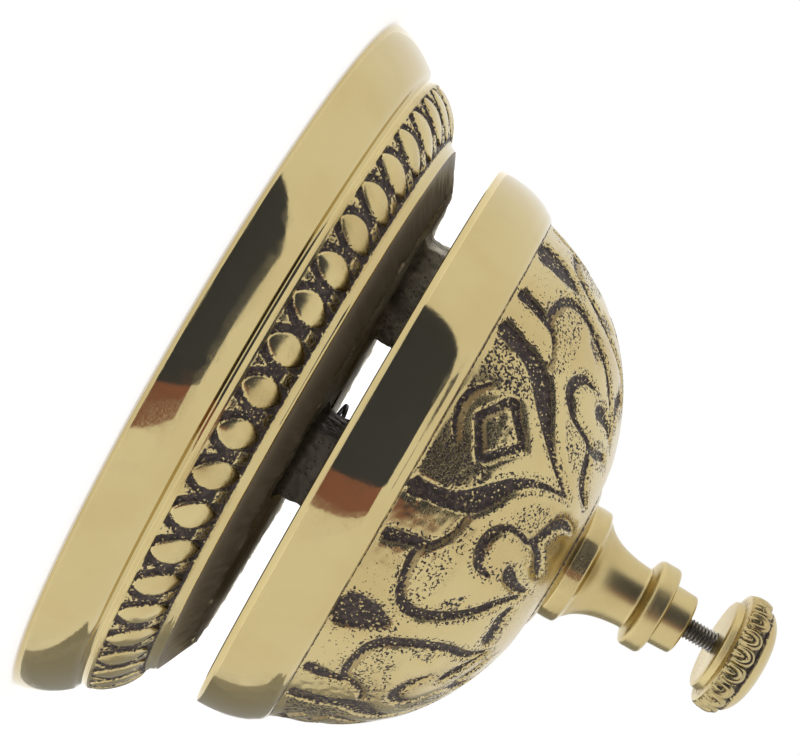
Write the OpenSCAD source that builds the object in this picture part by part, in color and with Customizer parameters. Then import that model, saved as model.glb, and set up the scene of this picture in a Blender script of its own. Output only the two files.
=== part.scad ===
// Counter service bell: a press knob on top drives a striker inside a hanging brass bell.
// Millimetres. +Z is up along the axis of the bell, and z = 0 is the face that the base stands on.
// The bell hangs from a front leg on the -Y side and a back leg, and the striker leg is on the -X side.

/* [Base] */
// Diameter of the base at its widest, close above the table
base_d = 100; // [98:0.5:106]
// Height of the rough top of the base
base_h = 17.2; // [16:0.1:18]
// Height of the polished rim of the base
rim_h = 6.7; // [6:0.1:7.2]
// Thickness of the walls of the base casting
base_wall = 4; // [3:0.25:5]
// Radius of the boss in the middle of the hollow base
boss_r = 8; // [7:0.5:9]

/* [Legs] */
// Distance from the axis to the middle of each cast leg
leg_mid = 20.6; // [20:0.1:21]
// Length of each leg, measured outwards
leg_l = 14.4; // [13:0.1:15]
// Width of each leg, measured across
leg_w = 9.6; // [9:0.1:11]
// Height of the flat top of the two legs that carry the bridge
leg_top = 33; // [32.5:0.1:34]
// Direction of the back leg, in degrees from +X towards +Y
back_turn = 63; // [60:1:66]

/* [Bell] */
// Diameter of the mouth of the bell
bell_d = 80.2; // [79:0.1:82]
// Height of the rim of the bell above the table
bell_z = 21; // [20.6:0.1:21.2]
// Height of the crown of the bell, where the finial sits
crown_z = 54; // [53.8:0.1:56]
// Thickness of the wall of the bell
bell_wall = 2.6; // [2.2:0.1:2.8]

/* [Finial and knob] */
// Diameter of the flange of the finial
flange_d = 16.7; // [16:0.1:20]
// Height of the top of the finial
finial_top = 72; // [71:0.1:73]
// Diameter of the knob round its beaded band
knob_d = 16.8; // [15:0.1:20]
// Height of the underside of the knob at rest
knob_z = 76.6; // [76.4:0.1:78]
// Height of the knob from its underside to its top
knob_h = 7; // [6.6:0.1:8]

/* [Mechanism] */
// Travel of the knob
travel = 3.5; // [3:0.1:3.6]
// Diameter of the threaded rod
rod_d = 3; // [3:0.01:3.04]
// Diameter of the hollow threaded post
post_d = 6; // [5.8:0.1:6.4]
// Height of the pivot pin of the striker
pivot_z = 28.5; // [28.4:0.05:28.6]
// Diameter of the pivot pin
pin_d = 2.5; // [2.2:0.1:2.6]
// Distance from the pivot to the middle of the striker head
head_reach = 12.6; // [12.5:0.05:12.7]
// Radius of the striker head
head_r = 2.65; // [2.4:0.05:2.7]
// Angle of the striker arm below level at rest
arm_drop = 14; // [13:0.5:15]

/* [Hidden] */
$fn = 96;

base_r = base_d / 2;
bell_r = bell_d / 2;
rod_r = rod_d / 2;
post_r = post_d / 2;
pin_r = pin_d / 2;
running = 0.06;           // radial clearance of the rod and the pivot
snug = 0.01;              // radial clearance of screwed and pressed pairs
leg_in = leg_mid - leg_l / 2;
leg_out = leg_mid + leg_l / 2;
carriers = [-90, back_turn];  // directions of the two legs that carry the bridge
leg_over_pivot = 3.6;     // height of the striker leg above its pivot

// Heights along the axis of the mechanism
well_z = 11;              // floor of the spring well in the base
bush_z = 5.5;             // foot of the boss and of the guide bush
washer_t = 0.6;
washer_r = 4.2;
well_r = 4.6;
fork_gap = 0.25;          // play between the fork and each collar
pad_r = 1.5;              // radius of the rounded fork tips
collar_r = 3.2;
collar_h = 2.5;
upper_z = pivot_z + pad_r + fork_gap;
lower_z = pivot_z - pad_r - fork_gap - collar_h;
spring_low = well_z + washer_t;
spring_high = lower_z - washer_t;
spring_mid_r = 3;
wire_r = 0.3;
bridge_t = 4;
hub_r = 7.5;
hub_top = leg_top + 7;
nut_h = 3;
nut_corner_r = 5.8;
screw_r = 2;
screw_l = 7.5;            // length of a bridge screw in its leg
screw_thread_end = 0.5;   // room left under a bridge screw
screw_head_r = 3.5;
screw_head_h = 2.4;
screw_slot_w = 0.8;
screw_slot_d = 1;
crown_in = crown_z - 2.5;
post_top = finial_top - 6;
rod_foot = 6.5;
rod_grip = 4.2;           // length of the rod inside the knob
seat_nut_h = 3.6;
seat_nut_r = 9;
clip_r = 1.2;             // how far a clip stands out from the pin
clip_t = 0.6;
set_screw_r = 0.6;
bush_wall = 0.9;
spigot_r = 0.9;           // radius of the threaded end of the striker arm
striker_nut_r = 2.6;
fork_root = -5;
slot_w = 3.2;
slot_z = 22.5;
lever_t = 2.4;
nut_at = 8.6;             // distance from the pivot to the striker nut
nut_t = 1.5;

function bez2(a, b, c, n = 8) = [for (i = [0:n]) let (t = i / n)
    (1 - t) * (1 - t) * a + 2 * t * (1 - t) * b + t * t * c];
function bez3(a, b, c, d, n = 16) = [for (i = [0:n]) let (t = i / n, s = 1 - t)
    s * s * s * a + 3 * s * s * t * b + 3 * s * t * t * c + t * t * t * d];

module turned(points) { rotate_extrude() polygon(points); }
module tube(outer, inner, z0, z1) {
    translate([0, 0, z0]) difference() {
        cylinder(r = outer, h = z1 - z0);
        translate([0, 0, -1]) cylinder(r = inner, h = z1 - z0 + 2);
    }
}
module across(x, z, r, w) { translate([x, w / 2, z]) rotate([90, 0, 0]) cylinder(r = r, h = w); }

// ---- Base ----
// Outer line of the base, from its foot up to the edge of the rough top
function base_outline() = concat(
    [[base_r - 0.8, 0]],
    bez2([base_r, 0.9], [base_r - 0.6, rim_h * 0.58], [base_r - 3.2, rim_h]),
    [[base_r - 4.6, rim_h + 0.4], [base_r - 4.6, rim_h + 1.2]],
    bez2([base_r - 4.1, rim_h + 1.6], [base_r - 5.4, 12], [base_r - 9.6, 13.7]),
    [[base_r - 10.2, 13.9], [base_r - 10.7, 14.7], [base_r - 15.9, base_h]]);
function base_hollow() = [
    [base_r - base_wall, -1], [base_r - base_wall - 0.2, 1], [base_r - base_wall - 3.4, 7.5],
    [base_r - base_wall - 10, base_h - base_wall - 1.2], [boss_r + 4, base_h - base_wall],
    [boss_r, base_h - base_wall - 2], [boss_r, bush_z], [0, bush_z], [0, -1]];
module leg(top) {
    translate([leg_in, -leg_w / 2, base_h - 2]) cube([leg_l, leg_w, top - base_h + 2]);
    hull() {
        translate([leg_in - 1.6, -leg_w / 2 - 1.6, base_h - 1]) cube([leg_l + 3.2, leg_w + 3.2, 1.1]);
        translate([leg_in, -leg_w / 2, base_h + 1]) cube([leg_l, leg_w, 0.1]);
    }
}
module base_casting() {
    color("darkgoldenrod") difference() {
        union() {
            turned(concat([[0, 0]], base_outline(), [[0, base_h]]));
            for (side = carriers) rotate(side) leg(leg_top);
            rotate(180) leg(pivot_z + leg_over_pivot);
        }
        turned(base_hollow());
        translate([0, 0, well_z]) cylinder(r = well_r, h = base_h);
        cylinder(r = post_r + snug, h = base_h);
        // Slot and pin hole of the striker leg
        translate([-leg_out - 1, -slot_w / 2, slot_z]) cube([leg_l + 2, slot_w, 20]);
        across(-leg_mid, pivot_z, pin_r + snug, leg_w + 2);
        // Tapped holes for the bridge screws
        for (side = carriers) rotate(side) translate([leg_mid, 0, leg_top - screw_l - screw_thread_end])
            cylinder(r = screw_r + snug, h = screw_l + screw_thread_end + 1);
    }
}
module guide_bush() { color("goldenrod") tube(post_r, rod_r + running, bush_z, well_z); }
module spring_seat() { color("silver") tube(washer_r, rod_r + 0.3, well_z, spring_low); }

// ---- Bell and its fixing ----
module bridge_bar() {
    color("peru") difference() {
        union() {
            translate([0, 0, leg_top]) linear_extrude(bridge_t) union() {
                for (side = carriers) rotate(side) {
                    translate([0, -leg_w / 2]) square([leg_mid, leg_w]);
                    translate([leg_mid, 0]) circle(r = leg_w / 2);
                }
            }
            translate([0, 0, leg_top]) cylinder(r = hub_r, h = hub_top - leg_top);
        }
        translate([0, 0, leg_top - 1]) cylinder(r = post_r + snug, h = 10);
        for (side = carriers) rotate(side) translate([leg_mid, 0, leg_top - 1])
            cylinder(r = screw_r + 0.1, h = bridge_t + 2);
    }
}
module bridge_screws() {
    color("dimgray") for (side = carriers) rotate(side) translate([leg_mid, 0, leg_top]) difference() {
        union() {
            translate([0, 0, -screw_l]) cylinder(r = screw_r, h = screw_l + bridge_t + 0.5);
            translate([0, 0, bridge_t]) cylinder(r = screw_head_r, h = screw_head_h);
        }
        translate([-4, -screw_slot_w / 2, bridge_t + screw_head_h - screw_slot_d])
            cube([8, screw_slot_w, 2]);
    }
}
module bell_post() { color("gold") tube(post_r, rod_r + running, leg_top, post_top); }
module post_lock_nut() {
    color("goldenrod") translate([0, 0, hub_top]) difference() {
        cylinder(r = nut_corner_r, h = nut_h, $fn = 6);
        translate([0, 0, -1]) cylinder(r = post_r + snug, h = nut_h + 2);
    }
}
module seat_nut() {
    color("goldenrod") difference() {
        turned([[0, crown_in - washer_t - seat_nut_h], [seat_nut_r - 2, crown_in - washer_t - seat_nut_h],
                [seat_nut_r, crown_in - washer_t - seat_nut_h + 1.6],
                [seat_nut_r, crown_in - washer_t], [0, crown_in - washer_t]]);
        translate([0, 0, crown_in - 10]) cylinder(r = post_r + snug, h = 12);
    }
}
module seat_washer() {
    color("saddlebrown") tube(seat_nut_r - 0.4, post_r + 0.1, crown_in - washer_t, crown_in);
}
// Section of the bell wall: a plain band round the mouth below an ogee dome
function bell_outline() = concat(
    [[bell_r - 0.3, bell_z]],
    bez2([bell_r, bell_z + 0.4], [bell_r + 0.3, bell_z + 4.6], [bell_r - 1.1, bell_z + 7.4]),
    bez2([bell_r - 1.7, bell_z + 8.4], [bell_r - 2.1, bell_z + 9.1], [bell_r - 2.8, bell_z + 9.3], n = 3),
    bez3([bell_r - 2.9, bell_z + 9.5], [bell_r - 5.6, crown_z - 14], [bell_r - 12.1, crown_z - 2.5],
         [flange_d / 2 + 0.3, crown_z]));
function bell_hollow() = concat(
    [[bell_r - bell_wall, bell_z - 1]],
    bez2([bell_r - bell_wall, bell_z + 3], [bell_r - bell_wall - 0.3, bell_z + 6.4],
         [bell_r - bell_wall - 2.9, bell_z + 9.4], n = 5),
    bez3([bell_r - bell_wall - 3, bell_z + 9.6], [bell_r - bell_wall - 5.9, crown_z - 15.6],
         [bell_r - bell_wall - 12, crown_z - 5.1], [seat_nut_r, crown_in]));
module bell_dome() {
    color("khaki") difference() {
        turned(concat([[0, bell_z]], bell_outline(), [[0, crown_z]]));
        turned(concat([[0, bell_z - 1]], bell_hollow(), [[0, crown_in]]));
        cylinder(r = post_r + 0.1, h = crown_z + 1);
    }
}
// Finial nut: flange, hollow neck, collar and spout for the rod
function finial_outline() = concat(
    bez2([flange_d / 2 - 0.2, crown_z], [flange_d / 2 + 0.1, crown_z + 1.5],
         [flange_d / 2 - 0.2, crown_z + 2.6], n = 4),
    bez2([flange_d / 2 - 1.1, crown_z + 3.4], [4.6, crown_z + 5.4], [4.4, finial_top - 7.3]),
    [[5.9, finial_top - 6.6], [6.25, finial_top - 6.1], [6.25, finial_top - 4.1],
     [6, finial_top - 3.7], [4.3, finial_top - 3.5], [4.2, finial_top - 0.3], [3.9, finial_top]]);
module finial() {
    color("khaki") difference() {
        turned(concat([[0, crown_z]], finial_outline(), [[0, finial_top]]));
        translate([0, 0, crown_z - 1]) cylinder(r = post_r + snug, h = post_top - crown_z + 1);
        cylinder(r = rod_r + running, h = finial_top + 1);
    }
}

// ---- Striker pivot ----
module pivot_pin() { color("dimgray") across(-leg_mid, pivot_z, pin_r, leg_w + 2.4); }
module pivot_clips() {
    color("gray") for (side = [-1, 1])
        translate([-leg_mid, side * (leg_w / 2 + 0.1), pivot_z]) rotate([-90 * side, 0, 0]) difference() {
            cylinder(r = pin_r + clip_r, h = clip_t);
            translate([0, 0, -1]) cylinder(r = pin_r + snug, h = 3);
        }
}

// ---- Plunger ----
module plunger_rod() {
    color("slategray") translate([0, 0, rod_foot]) cylinder(r = rod_r, h = knob_z + rod_grip - rod_foot);
}
module knob() {
    band = knob_d / 2;
    color("khaki") difference() {
        turned(concat(
            [[0, knob_z], [band - 2, knob_z], [band - 1.9, knob_z + 1.1], [band - 0.5, knob_z + 1.3]],
            bez2([band - 0.3, knob_z + 1.5], [band + 0.3, knob_z + 3], [band - 0.3, knob_z + 4.6], n = 4),
            bez2([band - 1.2, knob_z + 5], [band - 2.6, knob_z + knob_h], [0, knob_z + knob_h])));
        translate([0, 0, knob_z - 1]) cylinder(r = rod_r + snug, h = rod_grip + 1);
    }
}
module collar(z) { tube(collar_r, rod_r + snug, z, z + collar_h); }
module set_screw_hole(z) {
    translate([rod_r, 0, z + collar_h / 2]) rotate([0, 90, 0]) cylinder(r = set_screw_r + snug, h = 3);
}
module upper_collar() { color("goldenrod") difference() { collar(upper_z); set_screw_hole(upper_z); } }
module lower_collar() { color("goldenrod") difference() { collar(lower_z); set_screw_hole(lower_z); } }
module collar_screws() {
    color("dimgray") for (z = [upper_z, lower_z])
        translate([rod_r + snug, 0, z + collar_h / 2]) rotate([0, 90, 0]) cylinder(r = set_screw_r, h = 1.9);
}
module spring_cap() { color("silver") tube(washer_r, rod_r + snug, spring_high, lower_z); }
// Round wire swept along a helix, with a closed turn at each end
turns = 6;
steps = 20;
sides = 8;
closed_rise = 2.2 * wire_r;
function spring_lift(t) = let (u = t * turns, low = spring_low + wire_r, high = spring_high - wire_r,
        open_rise = high - low - 2 * closed_rise)
    u < 1 ? low + closed_rise * u
    : u > turns - 1 ? high - closed_rise * (turns - u)
    : low + closed_rise + open_rise * (u - 1) / (turns - 2);
module return_spring() {
    points = [for (i = [0:turns * steps]) let (t = i / (turns * steps), a = 360 * turns * t)
        for (j = [0:sides - 1]) let (b = 360 * j / sides, r = spring_mid_r + wire_r * cos(b))
            [r * cos(a), r * sin(a), spring_lift(t) + (wire_r - 0.02) * sin(b)]];
    last = turns * steps * sides;
    color("silver") polyhedron(points = points, convexity = 8, faces = concat(
        [[for (j = [0:sides - 1]) j]],
        [[for (j = [sides - 1:-1:0]) last + j]],
        [for (i = [0:turns * steps - 1]) for (j = [0:sides - 1]) let (a = i * sides, k = (j + 1) % sides)
            [a + j, a + sides + j, a + sides + k, a + k]]));
}

// ---- Striker ----
module along_arm(from, to, r, fn = $fn) {
    translate([-leg_mid, 0, pivot_z]) rotate([0, -90 - arm_drop, 0]) translate([0, 0, from])
        cylinder(r = r, h = to - from, $fn = fn);
}
module striker_lever() {
    color("darkkhaki") difference() {
        union() {
            across(-leg_mid, pivot_z, pin_r + 2.2, lever_t);
            // Inner arm and fork
            translate([-leg_mid, -lever_t / 2, pivot_z - 1.6]) cube([leg_mid - 6.4, lever_t, 3.2]);
            translate([fork_root - 1.6, -collar_r, pivot_z - 1]) cube([1.6, 2 * collar_r, 2]);
            for (side = [-1, 1]) translate([0, side * (collar_r - 0.65), 0]) {
                translate([fork_root - 0.5, -0.65, pivot_z - 1]) cube([-fork_root + 0.5, 1.3, 2]);
                across(0, pivot_z, pad_r, 1.3);
            }
            along_arm(0, nut_at, 1.2);
            along_arm(nut_at - 0.1, head_reach, spigot_r);
        }
        across(-leg_mid, pivot_z, pin_r + bush_wall + snug, lever_t + 2);
    }
}
module lever_bush() {
    color("goldenrod") difference() {
        across(-leg_mid, pivot_z, pin_r + bush_wall, slot_w - 0.2);
        across(-leg_mid, pivot_z, pin_r + running, slot_w + 2);
    }
}
module striker_head() {
    color("gold") difference() {
        translate([-leg_mid, 0, pivot_z]) rotate([0, -90 - arm_drop, 0])
            translate([0, 0, head_reach]) sphere(r = head_r);
        along_arm(0, nut_at + nut_t, head_r + 1);
        along_arm(0, head_reach + snug, spigot_r + snug);
    }
}
module striker_nut() {
    color("goldenrod") difference() {
        along_arm(nut_at, nut_at + nut_t, striker_nut_r, 6);
        along_arm(nut_at - 1, nut_at + nut_t + 1, spigot_r + snug);
    }
}

base_casting();
guide_bush();
spring_seat();
bridge_bar();
bridge_screws();
bell_post();
post_lock_nut();
seat_nut();
seat_washer();
bell_dome();
finial();
pivot_pin();
pivot_clips();
plunger_rod();
knob();
upper_collar();
lower_collar();
collar_screws();
spring_cap();
return_spring();
striker_lever();
lever_bush();
striker_head();
striker_nut();
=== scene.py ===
"""Counter service bell: the visual model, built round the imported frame.

A turned and polished base with a leaf band carries a hanging bell with cast scrollwork. A beaded
knob on a threaded rod works the striker inside. All places come from the frame, and the working
outlines are in millimetres until a mesh is made.
"""

import logging
import math
from dataclasses import dataclass, field
from enum import Enum
from typing import Sequence

import bpy
import numpy as np
from mathutils import Matrix, Vector, noise


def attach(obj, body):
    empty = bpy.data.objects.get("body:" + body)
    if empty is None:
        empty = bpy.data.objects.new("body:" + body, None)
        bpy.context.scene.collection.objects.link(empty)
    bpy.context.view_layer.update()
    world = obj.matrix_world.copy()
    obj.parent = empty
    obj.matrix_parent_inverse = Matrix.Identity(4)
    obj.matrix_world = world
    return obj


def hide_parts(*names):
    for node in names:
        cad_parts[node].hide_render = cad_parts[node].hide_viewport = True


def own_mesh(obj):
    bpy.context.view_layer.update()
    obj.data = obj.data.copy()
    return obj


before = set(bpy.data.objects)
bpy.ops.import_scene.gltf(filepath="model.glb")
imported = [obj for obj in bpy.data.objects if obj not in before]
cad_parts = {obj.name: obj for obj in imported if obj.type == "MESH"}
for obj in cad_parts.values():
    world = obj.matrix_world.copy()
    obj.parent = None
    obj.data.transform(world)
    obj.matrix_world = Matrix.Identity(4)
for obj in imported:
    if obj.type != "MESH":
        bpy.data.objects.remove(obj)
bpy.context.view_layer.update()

log = logging.getLogger("service_bell")
MM = 0.001
Point = tuple[float, float]
Colour = tuple[float, float, float]
Solid = bpy.types.Object
Socket = bpy.types.NodeSocket


class Body(Enum):
    """The rigid bodies of the frame that new pieces ride on."""

    FRAME = "frame"
    PLUNGER = "plunger"


# ---------------------------------------------------------------------------------------------
# Curves
# ---------------------------------------------------------------------------------------------
def bezier(*control: Point, steps: int = 12) -> list[Point]:
    """Gives points along a Bezier curve.

    Args:
        control: Three or four control points.
        steps: The number of spans.

    Returns:
        The points, both ends included.
    """
    t = np.linspace(0.0, 1.0, steps + 1)[:, None]
    degree = len(control) - 1
    total = sum(
        math.comb(degree, i) * (1 - t) ** (degree - i) * t ** i * np.array(p, float)
        for i, p in enumerate(control)
    )
    return [tuple(p) for p in total]


def straight(a: Point, b: Point, steps: int) -> list[Point]:
    """Gives evenly spaced points from a to b, both included."""
    return [tuple(p) for p in np.linspace(a, b, steps + 1)]


def flowing(points: Sequence[Sequence[float]], spans: int = 6) -> np.ndarray:
    """Runs a smooth curve through given points.

    Args:
        points: Rows of numbers, such as a place and a width.
        spans: The number of spans between two given points.

    Returns:
        The denser rows.
    """
    p = np.array(points, float)
    p = np.vstack([2 * p[0] - p[1], p, 2 * p[-1] - p[-2]])
    rows = []
    for i in range(1, len(p) - 2):
        for t in np.linspace(0, 1, spans, endpoint=False):
            rows.append(0.5 * (2 * p[i] + (p[i + 1] - p[i - 1]) * t
                               + (2 * p[i - 1] - 5 * p[i] + 4 * p[i + 1] - p[i + 2]) * t ** 2
                               + (3 * p[i] - p[i - 1] - 3 * p[i + 1] + p[i + 2]) * t ** 3))
    rows.append(p[-2])
    return np.array(rows)


def ramp(x: np.ndarray, low: float, high: float) -> np.ndarray:
    """Rises smoothly from 0 at low to 1 at high."""
    t = np.clip((x - low) / (high - low), 0, 1)
    return t * t * (3 - 2 * t)


def stroke_field(x: np.ndarray, y: np.ndarray, path: np.ndarray,
                 scale: np.ndarray | float = 1.0) -> np.ndarray:
    """Measures how far inside a stroke each point lies.

    Args:
        x: Places across, in the path's own units.
        y: Places along, in millimetres.
        path: Rows of place across, place along and stroke width in millimetres.
        scale: Millimetres for one unit across, for each point.

    Returns:
        Half the stroke's width less the distance from its middle, in millimetres.
    """
    best = np.full(x.shape, -1e9)
    for a, b in zip(path[:-1], path[1:]):
        ax, ay = (x - a[0]) * scale, y - a[1]
        dx, dy = (b[0] - a[0]) * scale, b[1] - a[1]
        t = np.clip((ax * dx + ay * dy) / np.maximum(dx * dx + dy * dy, 1e-9), 0, 1)
        width = a[2] + (b[2] - a[2]) * t
        best = np.maximum(best, width / 2 - np.hypot(ax - t * dx, ay - t * dy))
    return best


def patch_field(x: np.ndarray, y: np.ndarray, corners: Sequence[Point], scale: np.ndarray) -> np.ndarray:
    """Measures how far inside a closed patch each point lies, in millimetres."""
    inside = np.zeros(x.shape, bool)
    edge = np.full(x.shape, 1e9)
    for (ax, ay), (bx, by) in zip(corners, list(corners[1:]) + [corners[0]]):
        crosses = (ay > y) != (by > y)
        at = ax + (y - ay) / (by - ay if by != ay else 1e-9) * (bx - ax)
        inside ^= crosses & (x < at)
        px, py, dx, dy = (x - ax) * scale, y - ay, (bx - ax) * scale, by - ay
        t = np.clip((px * dx + py * dy) / np.maximum(dx * dx + dy * dy, 1e-9), 0, 1)
        edge = np.minimum(edge, np.hypot(px - t * dx, py - t * dy))
    return np.where(inside, edge, -edge)


# ---------------------------------------------------------------------------------------------
# Modelling
# ---------------------------------------------------------------------------------------------
def clear_selection() -> None:
    """Leaves edit mode and selects nothing."""
    if bpy.context.object and bpy.context.object.mode != "OBJECT":
        bpy.ops.object.mode_set(mode="OBJECT")
    bpy.ops.object.select_all(action="DESELECT")


def take(piece: Solid) -> None:
    """Selects one piece alone and makes it active."""
    clear_selection()
    piece.select_set(True)
    bpy.context.view_layer.objects.active = piece


def settle(piece: Solid) -> Solid:
    """Moves a piece's place, turn and size into its mesh."""
    take(piece)
    bpy.ops.object.transform_apply(location=True, rotation=True, scale=True)
    return piece


def smooth(piece: Solid, degrees: float = 35.0) -> None:
    """Shades a piece smooth, with edges sharper than the angle kept crisp."""
    take(piece)
    bpy.ops.object.shade_smooth_by_angle(angle=math.radians(degrees))


def places(piece: Solid) -> np.ndarray:
    """Gives the vertices of a piece in millimetres."""
    co = np.zeros(len(piece.data.vertices) * 3)
    piece.data.vertices.foreach_get("co", co)
    return co.reshape(-1, 3) / MM


def place(piece: Solid, co: np.ndarray) -> None:
    """Sets the vertices of a piece, given in millimetres."""
    piece.data.vertices.foreach_set("co", (co * MM).ravel())
    piece.data.update()


def normals(piece: Solid) -> np.ndarray:
    """Gives the vertex normals of a piece."""
    n = np.zeros(len(piece.data.vertices) * 3, np.float32)
    piece.data.vertex_normals.foreach_get("vector", n)
    return n.reshape(-1, 3).astype(float)


def mark(piece: Solid, name: str, values: np.ndarray) -> None:
    """Stores one number for each vertex, for the finish to read."""
    attribute = piece.data.attributes.new(name, "FLOAT", "POINT")
    attribute.data.foreach_set("value", values.astype(np.float32))


def lathe(name: str, outline: Sequence[Point], steps: int) -> Solid:
    """Turns an outline round +Z into a closed solid.

    Args:
        name: The piece's name.
        outline: Rows of radius and height in millimetres. A closed ring repeats its first point.
        steps: The number of columns round the axis.

    Returns:
        The turned piece.
    """
    clear_selection()
    bpy.ops.mesh.primitive_plane_add(size=MM, location=(0, 0, 0))
    piece = bpy.context.object
    piece.name = piece.data.name = name
    bpy.ops.object.mode_set(mode="EDIT")
    bpy.ops.mesh.select_all(action="SELECT")
    bpy.ops.mesh.merge(type="CENTER")
    here = np.array([outline[0][0], 0.0, outline[0][1]])
    bpy.ops.transform.translate(value=here * MM)
    for radius, height in outline[1:]:
        there = np.array([radius, 0.0, height])
        bpy.ops.mesh.extrude_region_move(TRANSFORM_OT_translate={"value": tuple((there - here) * MM)})
        here = there
    bpy.ops.mesh.select_all(action="SELECT")
    bpy.ops.mesh.spin(steps=steps, angle=math.tau, center=(0, 0, 0), axis=(0, 0, 1))
    bpy.ops.mesh.select_all(action="SELECT")
    bpy.ops.mesh.remove_doubles(threshold=0.002 * MM)
    bpy.ops.mesh.normals_make_consistent(inside=False)
    bpy.ops.object.mode_set(mode="OBJECT")
    return settle(piece)


def block(name: str, low: Sequence[float], high: Sequence[float]) -> Solid:
    """Adds a box between two corners given in millimetres."""
    clear_selection()
    centre = [(a + b) / 2 * MM for a, b in zip(low, high)]
    bpy.ops.mesh.primitive_cube_add(size=1, location=centre, scale=[(b - a) * MM for a, b in zip(low, high)])
    piece = bpy.context.object
    piece.name = piece.data.name = name
    return settle(piece)


def modify(piece: Solid, kind: str, **values: object) -> None:
    """Adds one modifier, sets its values and applies it."""
    take(piece)
    modifier = piece.modifiers.new(kind.lower(), kind)
    for key, value in values.items():
        setattr(modifier, key, value)
    bpy.ops.object.modifier_apply(modifier=modifier.name)


def roughen(piece: Solid, depth: float, grain: float, pits: float = 0.0) -> np.ndarray:
    """Eats into a surface, so that it looks as it came out of the sand.

    Args:
        piece: The piece. Its vertices move inwards only.
        depth: The deepest general hollow, in millimetres.
        grain: The size of the general hollows, in millimetres.
        pits: The extra depth of scattered pits, in millimetres.

    Returns:
        How far each vertex went in, from 0 to 1.
    """
    co, out = places(piece), normals(piece)
    sunk = np.array([_hollow(Vector(p), grain, pits / depth) for p in co])
    place(piece, co - out * (depth * sunk)[:, None])
    return np.clip(sunk, 0, 1)


def _hollow(p: Vector, grain: float, pitting: float) -> float:
    """Gives the depth of the cast skin at one place, from 0 upwards."""
    broad = 0.5 + 0.5 * noise.fractal(p / grain, 0.7, 2.0, 4)
    if pitting <= 0:
        return max(0.0, broad)
    cell = noise.voronoi(p / (grain * 0.8))[0][0]
    return max(0.0, broad) + pitting * max(0.0, 1 - cell / 0.45) ** 2


# ---------------------------------------------------------------------------------------------
# Finishes
# ---------------------------------------------------------------------------------------------
class Graph:
    """Adds nodes to one tree and joins them."""

    def __init__(self, tree: bpy.types.NodeTree) -> None:
        """Starts on an empty tree."""
        self.tree = tree
        tree.nodes.clear()

    def node(self, kind: str, inputs: dict | None = None, **settings: object) -> bpy.types.Node:
        """Adds a node.

        Args:
            kind: The node's type.
            inputs: Values or sockets for its inputs, by name or number.
            settings: The node's own settings.

        Returns:
            The new node.
        """
        node = self.tree.nodes.new(kind)
        for key, value in settings.items():
            setattr(node, key, value)
        for key, value in (inputs or {}).items():
            socket = node.inputs[key]
            if isinstance(value, Socket):
                self.tree.links.new(value, socket)
            elif isinstance(value, tuple) and len(value) == 3 and socket.type == "RGBA":
                socket.default_value = (*value, 1.0)
            else:
                socket.default_value = value
        return node

    def sum(self, operation: str, a: object, b: object = 0.0, clamp: bool = False) -> Socket:
        """Works out one sum, such as ADD or MULTIPLY."""
        return self.node("ShaderNodeMath", {0: a, 1: b}, operation=operation, use_clamp=clamp).outputs[0]

    def plus(self, a: object, b: object) -> Socket:
        """Adds b to a."""
        return self.sum("ADD", a, b)

    def minus(self, a: object, b: object) -> Socket:
        """Takes b from a."""
        return self.sum("SUBTRACT", a, b)

    def times(self, a: object, b: object) -> Socket:
        """Multiplies a by b."""
        return self.sum("MULTIPLY", a, b)

    def blend(self, share: object, a: object, b: object) -> Socket:
        """Mixes two colours."""
        return self.node("ShaderNodeMix", {0: share, 6: a, 7: b}, data_type="RGBA").outputs[2]

    def between(self, value: object, low: float, high: float) -> Socket:
        """Rises smoothly from 0 to 1 as a value goes from low to high."""
        return self.node("ShaderNodeMapRange", {0: value, 1: low, 2: high},
                         interpolation_type="SMOOTHSTEP").outputs[0]

    def speckle(self, vector: object, scale: object, detail: float = 3.0) -> Socket:
        """Adds a soft noise pattern from 0 to 1."""
        inputs = {"Vector": vector, "Scale": scale, "Detail": detail}
        return self.node("ShaderNodeTexNoise", inputs).outputs[0]

    def attribute(self, name: str) -> Socket:
        """Reads a number stored on the piece."""
        return self.node("ShaderNodeAttribute", attribute_name=name).outputs["Fac"]

    def here(self) -> Socket:
        """Reads the place on the piece."""
        return self.node("ShaderNodeTexCoord").outputs["Object"]


def new_finish(name: str) -> tuple[bpy.types.Material, Graph]:
    """Makes an empty material and the graph that fills it."""
    material = bpy.data.materials.new(name)
    material.use_nodes = True
    return material, Graph(material.node_tree)


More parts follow.
